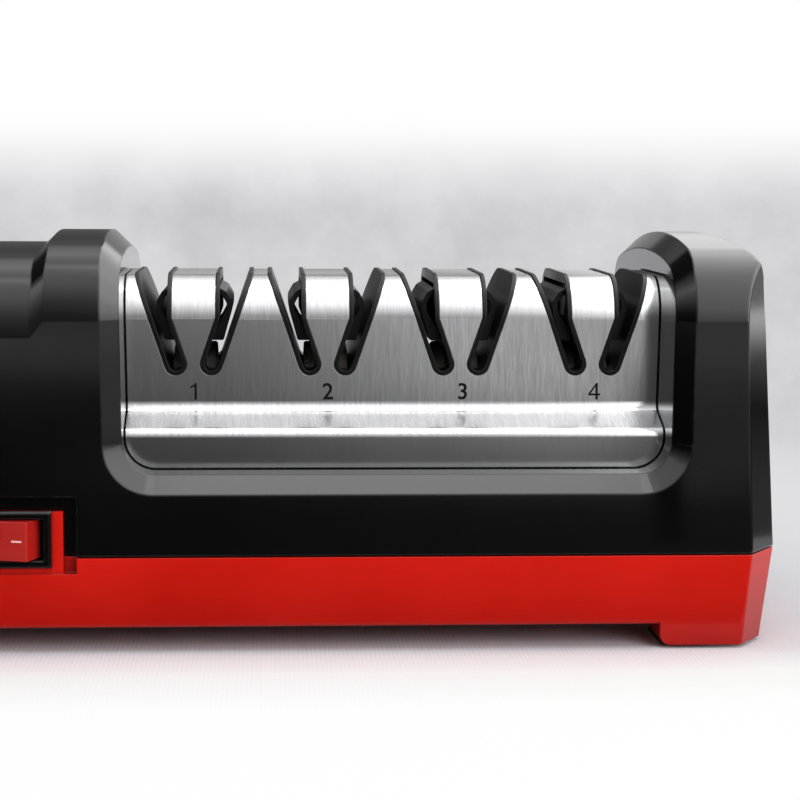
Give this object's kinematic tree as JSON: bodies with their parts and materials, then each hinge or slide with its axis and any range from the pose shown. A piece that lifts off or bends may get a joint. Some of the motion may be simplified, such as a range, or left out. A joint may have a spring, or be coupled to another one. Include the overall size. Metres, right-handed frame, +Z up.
{
  "type": "electric knife sharpener",
  "caption": "Electric knife sharpener: a motor turns sprung grinding wheels below slotted blade guides in a steel cover, in a two-tone housing with a rocker switch.",
  "frame": {"origin": "under the middle of the body, on the surface that it stands on", "axes": "+Z up, +X from the motor end to the grinding stages along the shaft, -Y towards the user"},
  "size_m": [0.28, 0.1204, 0.1113],
  "materials": {
    "housing_black": "gloss",
    "base_red": "gloss",
    "rocker_red": "satin",
    "cover_steel": "brushed",
    "guide_black": "satin",
    "spring_black": "satin",
    "abrasive": "rough",
    "bright_steel": "machined",
    "lamination": "stacked sheet",
    "enamel_wire": "lacquered",
    "copper_bars": "turned",
    "fan_plastic": "satin",
    "carbon": "dull",
    "brass": "plain",
    "bearing_bronze": "sintered",
    "bracket_alloy": "die cast",
    "pad_rubber": "matte",
    "inlet_black": "satin",
    "wire_sheath": "satin"
  },
  "bodies": {
    "root": {"base_tray": "base_red", "foot_pads": "pad_rubber", "upper_housing": "housing_black", "steel_cover": "cover_steel", "blade_guide_1": "guide_black", "blade_guide_2": "guide_black", "blade_guide_3": "guide_black", "blade_guide_4": "guide_black", "field_core": "lamination", "field_coils": "enamel_wire", "carbon_brushes": "carbon", "brush_holders": "fan_plastic", "shaft_bushes": "bearing_bronze", "motor_bracket_left": "bracket_alloy", "motor_bracket_right": "bracket_alloy", "outboard_bracket": "bracket_alloy", "switch_housing": "housing_black", "switch_terminals": "brass", "power_inlet": "inlet_black", "inlet_contacts": "brass", "lead_wires": "wire_sheath", "housing_screws": "bright_steel", "bracket_screws": "bright_steel"},
    "rotor": {"drive_shaft": "bright_steel", "wheel_drive_pins": "bright_steel", "armature_core": "lamination", "armature_winding": "enamel_wire", "commutator": "copper_bars", "cooling_fan": "fan_plastic", "wheel_spring_1": "bright_steel", "wheel_spring_2": "bright_steel", "wheel_spring_3": "bright_steel", "wheel_spring_4": "bright_steel"},
    "rocker": {"rocker_key": "rocker_red"},
    "wheel_1_left": {"grinding_wheel_1_left": "abrasive"},
    "leaf_1_left": {"blade_spring_1_left": "spring_black"},
    "wheel_1_right": {"grinding_wheel_1_right": "abrasive"},
    "leaf_1_right": {"blade_spring_1_right": "spring_black"},
    "wheel_2_left": {"grinding_wheel_2_left": "abrasive"},
    "leaf_2_left": {"blade_spring_2_left": "spring_black"},
    "wheel_2_right": {"grinding_wheel_2_right": "abrasive"},
    "leaf_2_right": {"blade_spring_2_right": "spring_black"},
    "wheel_3_left": {"grinding_wheel_3_left": "abrasive"},
    "leaf_3_left": {"blade_spring_3_left": "spring_black"},
    "wheel_3_right": {"grinding_wheel_3_right": "abrasive"},
    "leaf_3_right": {"blade_spring_3_right": "spring_black"},
    "wheel_4_left": {"grinding_wheel_4_left": "abrasive"},
    "leaf_4_left": {"blade_spring_4_left": "spring_black"},
    "wheel_4_right": {"grinding_wheel_4_right": "abrasive"},
    "leaf_4_right": {"blade_spring_4_right": "spring_black"}
  },
  "joints": [
    {"name": "shaft_spin", "type": "hinge", "parent": "root", "child": "rotor", "pos_m": [0, 0, 0.051], "axis": [1, 0, 0], "continuous": true},
    {"name": "switch_rocker", "type": "hinge", "parent": "root", "child": "rocker", "pos_m": [-0.0683, -0.0525, 0.03125], "axis": [0, 0, 1], "range_deg": [0, 16]},
    {"name": "wheel_1_left_slide", "type": "slide", "parent": "rotor", "child": "wheel_1_left", "axis": [1, 0, 0], "range_m": [0, 0.001], "stiffness_N_per_m": 500, "springref_m": -0.004},
    {"name": "leaf_1_left_pivot", "type": "hinge", "parent": "root", "child": "leaf_1_left", "pos_m": [-0.023, 0, 0.082], "axis": [0, 1, 0], "range_deg": [0, 9], "stiffness_Nm_per_rad": 0.15, "springref_deg": -5.73},
    {"name": "wheel_1_right_slide", "type": "slide", "parent": "rotor", "child": "wheel_1_right", "axis": [-1, 0, 0], "range_m": [0, 0.001], "stiffness_N_per_m": 500, "springref_m": -0.004},
    {"name": "leaf_1_right_pivot", "type": "hinge", "parent": "root", "child": "leaf_1_right", "pos_m": [-0.016, 0, 0.082], "axis": [0, -1, 0], "range_deg": [0, 9], "stiffness_Nm_per_rad": 0.15, "springref_deg": -5.73},
    {"name": "wheel_2_left_slide", "type": "slide", "parent": "rotor", "child": "wheel_2_left", "axis": [1, 0, 0], "range_m": [0, 0.001], "stiffness_N_per_m": 500, "springref_m": -0.004},
    {"name": "leaf_2_left_pivot", "type": "hinge", "parent": "root", "child": "leaf_2_left", "pos_m": [0.014, 0, 0.082], "axis": [0, 1, 0], "range_deg": [0, 9], "stiffness_Nm_per_rad": 0.15, "springref_deg": -5.73},
    {"name": "wheel_2_right_slide", "type": "slide", "parent": "rotor", "child": "wheel_2_right", "axis": [-1, 0, 0], "range_m": [0, 0.001], "stiffness_N_per_m": 500, "springref_m": -0.004},
    {"name": "leaf_2_right_pivot", "type": "hinge", "parent": "root", "child": "leaf_2_right", "pos_m": [0.021, 0, 0.082], "axis": [0, -1, 0], "range_deg": [0, 9], "stiffness_Nm_per_rad": 0.15, "springref_deg": -5.73},
    {"name": "wheel_3_left_slide", "type": "slide", "parent": "rotor", "child": "wheel_3_left", "axis": [1, 0, 0], "range_m": [0, 0.001], "stiffness_N_per_m": 500, "springref_m": -0.004},
    {"name": "leaf_3_left_pivot", "type": "hinge", "parent": "root", "child": "leaf_3_left", "pos_m": [0.051, 0, 0.082], "axis": [0, 1, 0], "range_deg": [0, 9], "stiffness_Nm_per_rad": 0.15, "springref_deg": -5.73},
    {"name": "wheel_3_right_slide", "type": "slide", "parent": "rotor", "child": "wheel_3_right", "axis": [-1, 0, 0], "range_m": [0, 0.001], "stiffness_N_per_m": 500, "springref_m": -0.004},
    {"name": "leaf_3_right_pivot", "type": "hinge", "parent": "root", "child": "leaf_3_right", "pos_m": [0.058, 0, 0.082], "axis": [0, -1, 0], "range_deg": [0, 9], "stiffness_Nm_per_rad": 0.15, "springref_deg": -5.73},
    {"name": "wheel_4_left_slide", "type": "slide", "parent": "rotor", "child": "wheel_4_left", "axis": [1, 0, 0], "range_m": [0, 0.001], "stiffness_N_per_m": 500, "springref_m": -0.004},
    {"name": "leaf_4_left_pivot", "type": "hinge", "parent": "root", "child": "leaf_4_left", "pos_m": [0.088, 0, 0.082], "axis": [0, 1, 0], "range_deg": [0, 9], "stiffness_Nm_per_rad": 0.15, "springref_deg": -5.73},
    {"name": "wheel_4_right_slide", "type": "slide", "parent": "rotor", "child": "wheel_4_right", "axis": [-1, 0, 0], "range_m": [0, 0.001], "stiffness_N_per_m": 500, "springref_m": -0.004},
    {"name": "leaf_4_right_pivot", "type": "hinge", "parent": "root", "child": "leaf_4_right", "pos_m": [0.095, 0, 0.082], "axis": [0, -1, 0], "range_deg": [0, 9], "stiffness_Nm_per_rad": 0.15, "springref_deg": -5.73}
  ]
}
